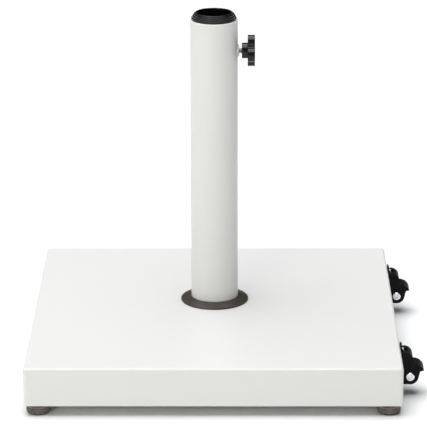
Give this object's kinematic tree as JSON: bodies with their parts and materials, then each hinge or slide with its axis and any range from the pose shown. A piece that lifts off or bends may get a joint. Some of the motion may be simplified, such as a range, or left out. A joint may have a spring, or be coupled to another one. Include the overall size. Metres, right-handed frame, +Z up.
{
  "type": "parasol base",
  "caption": "Square weighted parasol base: white steel cover over a slab, upright socket tube with collar and clamp knob, levelling feet and tilt wheels on one side.",
  "frame": {"origin": "on the floor, at the middle of the whole outline seen from above", "axes": "+Z up along the socket tube; -Y is the front; +X towards the wheels and the clamp knob"},
  "size_m": [0.532, 0.5, 0.481],
  "materials": {
    "white_coat": "satin",
    "concrete": "matte",
    "galvanised_steel": "satin",
    "bright_steel": "satin",
    "chrome_steel": "polished",
    "black_plastic": "satin",
    "dark_plastic": "satin",
    "foot_plastic": "matte",
    "nylon": "satin",
    "tyre_rubber": "matte",
    "sole_rubber": "matte"
  },
  "bodies": {
    "base": {"axle_clip_front": "chrome_steel", "axle_clip_rear": "chrome_steel", "ballast_slab": "concrete", "base_plate": "galvanised_steel", "clamp_boss": "white_coat", "flange_bolt_1": "bright_steel", "flange_bolt_2": "bright_steel", "flange_bolt_3": "bright_steel", "flange_bolt_4": "bright_steel", "foot_nut_front_left": "galvanised_steel", "foot_nut_front_right": "galvanised_steel", "foot_nut_rear_left": "galvanised_steel", "foot_nut_rear_right": "galvanised_steel", "housing_screw_front_lower": "bright_steel", "housing_screw_front_upper": "bright_steel", "housing_screw_rear_lower": "bright_steel", "housing_screw_rear_upper": "bright_steel", "plate_screw_1": "galvanised_steel", "plate_screw_2": "galvanised_steel", "plate_screw_3": "galvanised_steel", "plate_screw_4": "galvanised_steel", "pole_seat": "black_plastic", "socket_flange": "galvanised_steel", "socket_tube": "white_coat", "top_cover": "white_coat", "wheel_axle_front": "chrome_steel", "wheel_axle_rear": "chrome_steel", "wheel_housing_front": "black_plastic", "wheel_housing_rear": "black_plastic"},
    "collar": {"pole_collar": "black_plastic"},
    "rosette": {"rosette": "dark_plastic"},
    "clamp_tip": {"clamp_tip": "nylon"},
    "clamp": {"clamp_screw": "bright_steel", "star_knob": "black_plastic"},
    "wheel_front": {"wheel_hub_front": "dark_plastic", "wheel_tyre_front": "tyre_rubber"},
    "wheel_rear": {"wheel_hub_rear": "dark_plastic", "wheel_tyre_rear": "tyre_rubber"},
    "sole_front_left": {"foot_sole_front_left": "sole_rubber"},
    "foot_front_left": {"foot_disc_front_left": "foot_plastic", "foot_stud_front_left": "bright_steel"},
    "sole_front_right": {"foot_sole_front_right": "sole_rubber"},
    "foot_front_right": {"foot_disc_front_right": "foot_plastic", "foot_stud_front_right": "bright_steel"},
    "sole_rear_left": {"foot_sole_rear_left": "sole_rubber"},
    "foot_rear_left": {"foot_disc_rear_left": "foot_plastic", "foot_stud_rear_left": "bright_steel"},
    "sole_rear_right": {"foot_sole_rear_right": "sole_rubber"},
    "foot_rear_right": {"foot_disc_rear_right": "foot_plastic", "foot_stud_rear_right": "bright_steel"}
  },
  "joints": [
    {"name": "collar_lift", "type": "slide", "parent": "base", "child": "collar", "axis": [0, 0, 1], "range_m": [0, 0.03]},
    {"name": "rosette_lift", "type": "slide", "parent": "base", "child": "rosette", "axis": [0, 0, 1], "range_m": [0, 0.325]},
    {"name": "clamp_travel", "type": "slide", "parent": "base", "child": "clamp_tip", "axis": [1, 0, 0], "range_m": [-0.0026, 0.0101]},
    {"name": "clamp_turn", "type": "hinge", "parent": "clamp_tip", "child": "clamp", "pos_m": [0.028, 0.0245, 0.427], "axis": [1, 0, 0], "range_deg": [-720, 2880]},
    {"name": "wheel_spin_front", "type": "hinge", "parent": "base", "child": "wheel_front", "pos_m": [0.2475, -0.161, 0.0275], "axis": [0, 1, 0], "continuous": true},
    {"name": "wheel_spin_rear", "type": "hinge", "parent": "base", "child": "wheel_rear", "pos_m": [0.2475, 0.161, 0.0275], "axis": [0, 1, 0], "continuous": true},
    {"name": "foot_travel_front_left", "type": "slide", "parent": "base", "child": "sole_front_left", "axis": [0, 0, 1], "range_m": [-0.0076, 0.0017]},
    {"name": "foot_turn_front_left", "type": "hinge", "parent": "sole_front_left", "child": "foot_front_left", "pos_m": [-0.248, -0.232, 0.02], "axis": [0, 0, 1], "range_deg": [-2160, 450]},
    {"name": "foot_travel_front_right", "type": "slide", "parent": "base", "child": "sole_front_right", "axis": [0, 0, 1], "range_m": [-0.0076, 0.0017]},
    {"name": "foot_turn_front_right", "type": "hinge", "parent": "sole_front_right", "child": "foot_front_right", "pos_m": [0.216, -0.232, 0.02], "axis": [0, 0, 1], "range_deg": [-2160, 450]},
    {"name": "foot_travel_rear_left", "type": "slide", "parent": "base", "child": "sole_rear_left", "axis": [0, 0, 1], "range_m": [-0.0076, 0.0017]},
    {"name": "foot_turn_rear_left", "type": "hinge", "parent": "sole_rear_left", "child": "foot_rear_left", "pos_m": [-0.248, 0.232, 0.02], "axis": [0, 0, 1], "range_deg": [-2160, 450]},
    {"name": "foot_travel_rear_right", "type": "slide", "parent": "base", "child": "sole_rear_right", "axis": [0, 0, 1], "range_m": [-0.0076, 0.0017]},
    {"name": "foot_turn_rear_right", "type": "hinge", "parent": "sole_rear_right", "child": "foot_rear_right", "pos_m": [0.216, 0.232, 0.02], "axis": [0, 0, 1], "range_deg": [-2160, 450]}
  ],
  "couplings": [
    {"joint": "clamp_travel", "follows": "clamp_turn", "m_per_rad": 0.00019894},
    {"joint": "foot_travel_front_left", "follows": "foot_turn_front_left", "m_per_rad": 0.00019894},
    {"joint": "foot_travel_front_right", "follows": "foot_turn_front_right", "m_per_rad": 0.00019894},
    {"joint": "foot_travel_rear_left", "follows": "foot_turn_rear_left", "m_per_rad": 0.00019894},
    {"joint": "foot_travel_rear_right", "follows": "foot_turn_rear_right", "m_per_rad": 0.00019894}
  ]
}
